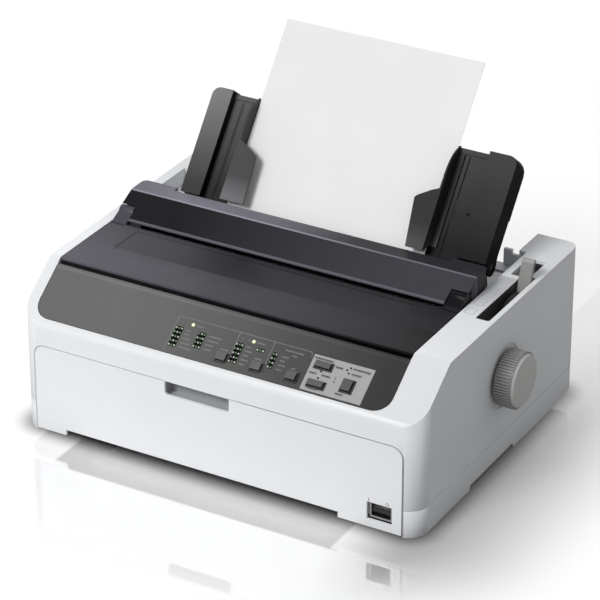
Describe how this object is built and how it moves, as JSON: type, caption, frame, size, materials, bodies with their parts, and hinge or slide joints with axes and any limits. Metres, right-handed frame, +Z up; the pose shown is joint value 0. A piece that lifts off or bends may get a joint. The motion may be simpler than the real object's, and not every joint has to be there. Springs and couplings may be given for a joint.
{
  "type": "dot matrix printer",
  "caption": "Desktop dot matrix printer with a sloped control panel, hinged smoked cover, rear sheet guide with a sheet, side platen knob and release lever.",
  "frame": {"origin": "middle of the body's footprint on the plane that it stands on", "axes": "+X along the body's width towards the knob, +Y from the front face to the rear face, +Z up"},
  "size_m": [0.418, 0.3099, 0.2991],
  "materials": {
    "case_white": "satin",
    "panel_grey": "matt",
    "label_grey": "matt",
    "button_dark": "satin",
    "lens_grey": "gloss",
    "smoked_plastic": "gloss",
    "guide_black": "satin",
    "knob_grey": "matt",
    "lever_grey": "matt",
    "plated_steel": "satin",
    "rubber_black": "matt",
    "mech_black": "matt",
    "gear_ivory": "matt",
    "board_green": "satin",
    "motor_dark": "satin",
    "paper_white": "matt",
    "port_metal": "satin"
  },
  "bodies": {
    "housing": {"upper_housing": "case_white", "lower_case": "case_white", "rubber_feet": "rubber_black", "door_pins": "plated_steel", "switch_frame": "mech_black", "control_panel": "panel_grey", "panel_label_plate": "label_grey", "indicator_lenses": "lens_grey", "panel_board": "board_green", "cover_pins": "plated_steel", "rear_bridge": "smoked_plastic", "guide_pins": "plated_steel", "guide_posts": "guide_black", "paper_chute": "guide_black", "feed_motor": "motor_dark", "lever_stud": "plated_steel", "carriage_shaft": "plated_steel", "carriage_motor": "motor_dark", "carriage_belt": "rubber_black", "side_frames": "plated_steel", "chassis_pan": "plated_steel", "tractor_rail": "plated_steel", "power_supply": "plated_steel", "main_board": "board_green", "power_inlet": "mech_black", "interface_ports": "port_metal"},
    "door": {"front_door": "case_white"},
    "rocker": {"power_rocker": "mech_black"},
    "cover": {"printer_cover": "smoked_plastic"},
    "guide": {"sheet_guide": "guide_black"},
    "edge_left": {"edge_guide_left": "guide_black"},
    "edge_right": {"edge_guide_right": "guide_black"},
    "sheet": {"paper_sheet": "paper_white"},
    "platen": {"platen_shaft": "plated_steel", "platen_roller": "rubber_black", "platen_knob": "knob_grey", "platen_gear": "gear_ivory"},
    "pinion": {"feed_pinion": "gear_ivory"},
    "lever": {"release_lever": "lever_grey", "lever_guard": "mech_black"},
    "head_carriage": {"carriage": "mech_black", "print_head": "motor_dark", "ribbon_cartridge": "mech_black"},
    "drive_wheel": {"drive_pulley": "plated_steel"},
    "idler_wheel": {"idler_pulley": "plated_steel"},
    "tractor_drive": {"tractor_shaft": "plated_steel"},
    "tractor_l": {"tractor_left": "mech_black"},
    "tractor_r": {"tractor_right": "mech_black"},
    "gate_l": {"tractor_gate_left": "mech_black"},
    "gate_r": {"tractor_gate_right": "mech_black"},
    "button_font": {"button_font": "button_dark"},
    "button_pitch": {"button_pitch": "button_dark"},
    "button_tear": {"button_tear": "button_dark"},
    "button_load": {"button_load": "button_dark"},
    "button_adjust": {"button_adjust": "button_dark"},
    "button_pause": {"button_pause": "button_dark"}
  },
  "joints": [
    {"name": "front_door_hinge", "type": "hinge", "parent": "housing", "child": "door", "pos_m": [0, -0.146, 0.008], "axis": [1, 0, 0], "range_deg": [0, 85]},
    {"name": "power_rocker_hinge", "type": "hinge", "parent": "housing", "child": "rocker", "pos_m": [0.1625, -0.1426, 0.0175], "axis": [1, 0, 0], "range_deg": [0, 16]},
    {"name": "printer_cover_hinge", "type": "hinge", "parent": "housing", "child": "cover", "pos_m": [-0.012, 0.0005, 0.1512], "axis": [-1, 0, 0], "range_deg": [0, 75]},
    {"name": "sheet_guide_hinge", "type": "hinge", "parent": "housing", "child": "guide", "pos_m": [0, 0.05788, 0.15584], "axis": [-1, 0, 0], "range_deg": [0, 50]},
    {"name": "edge_guide_left_slide", "type": "slide", "parent": "guide", "child": "edge_left", "axis": [1, 0, 0], "range_m": [-0.018, 0]},
    {"name": "edge_guide_right_slide", "type": "slide", "parent": "guide", "child": "edge_right", "axis": [1, 0, 0], "range_m": [0, 0.022]},
    {"name": "sheet_feed_slide", "type": "slide", "parent": "guide", "child": "sheet", "axis": [0, 0.6157, 0.788], "range_m": [0, 0.09]},
    {"name": "platen_spin", "type": "hinge", "parent": "housing", "child": "platen", "pos_m": [0, 0.0058, 0.0835], "axis": [1, 0, 0], "continuous": true},
    {"name": "feed_pinion_spin", "type": "hinge", "parent": "housing", "child": "pinion", "pos_m": [-0.1795, -0.01878, 0.06629], "axis": [1, 0, 0], "continuous": true},
    {"name": "release_lever_hinge", "type": "hinge", "parent": "housing", "child": "lever", "pos_m": [0.188, 0.048, 0.1], "axis": [1, 0, 0], "range_deg": [0, 60]},
    {"name": "carriage_slide", "type": "slide", "parent": "housing", "child": "head_carriage", "axis": [1, 0, 0], "range_m": [-0.036, 0.14]},
    {"name": "drive_pulley_spin", "type": "hinge", "parent": "housing", "child": "drive_wheel", "pos_m": [-0.146, -0.0625, 0.051], "axis": [0, 1, 0], "range_deg": [-250, 940]},
    {"name": "idler_pulley_spin", "type": "hinge", "parent": "housing", "child": "idler_wheel", "pos_m": [0.126, -0.0625, 0.051], "axis": [0, 1, 0], "range_deg": [-250, 940]},
    {"name": "tractor_shaft_spin", "type": "hinge", "parent": "housing", "child": "tractor_drive", "pos_m": [0, 0.0835, 0.104], "axis": [1, 0, 0], "continuous": true},
    {"name": "tractor_left_slide", "type": "slide", "parent": "housing", "child": "tractor_l", "axis": [1, 0, 0], "range_m": [-0.03, 0.05]},
    {"name": "tractor_right_slide", "type": "slide", "parent": "housing", "child": "tractor_r", "axis": [1, 0, 0], "range_m": [-0.05, 0.04]},
    {"name": "tractor_gate_left_hinge", "type": "hinge", "parent": "tractor_l", "child": "gate_l", "pos_m": [-0.092, 0.0595, 0.108], "axis": [1, 0, 0], "range_deg": [0, 80]},
    {"name": "tractor_gate_right_hinge", "type": "hinge", "parent": "tractor_r", "child": "gate_r", "pos_m": [0.074, 0.0595, 0.108], "axis": [1, 0, 0], "range_deg": [0, 80]},
    {"name": "button_font_press", "type": "slide", "parent": "housing", "child": "button_font", "axis": [0, 0.5875, -0.8093], "range_m": [0, 0.0012], "stiffness_N_per_m": 300, "springref_m": -0.0006},
    {"name": "button_pitch_press", "type": "slide", "parent": "housing", "child": "button_pitch", "axis": [0, 0.5875, -0.8093], "range_m": [0, 0.0012], "stiffness_N_per_m": 300, "springref_m": -0.0006},
    {"name": "button_tear_press", "type": "slide", "parent": "housing", "child": "button_tear", "axis": [0, 0.5875, -0.8093], "range_m": [0, 0.0012], "stiffness_N_per_m": 300, "springref_m": -0.0006},
    {"name": "button_load_press", "type": "slide", "parent": "housing", "child": "button_load", "axis": [0, 0.5875, -0.8093], "range_m": [0, 0.0012], "stiffness_N_per_m": 300, "springref_m": -0.0006},
    {"name": "button_adjust_press", "type": "slide", "parent": "housing", "child": "button_adjust", "axis": [0, 0.5875, -0.8093], "range_m": [0, 0.0012], "stiffness_N_per_m": 300, "springref_m": -0.0006},
    {"name": "button_pause_press", "type": "slide", "parent": "housing", "child": "button_pause", "axis": [0, 0.5875, -0.8093], "range_m": [0, 0.0012], "stiffness_N_per_m": 300, "springref_m": -0.0006}
  ],
  "couplings": [
    {"joint": "feed_pinion_spin", "follows": "platen_spin", "ratio": -4},
    {"joint": "drive_pulley_spin", "follows": "carriage_slide", "rad_per_m": 115.61},
    {"joint": "idler_pulley_spin", "follows": "carriage_slide", "rad_per_m": 115.61}
  ]
}
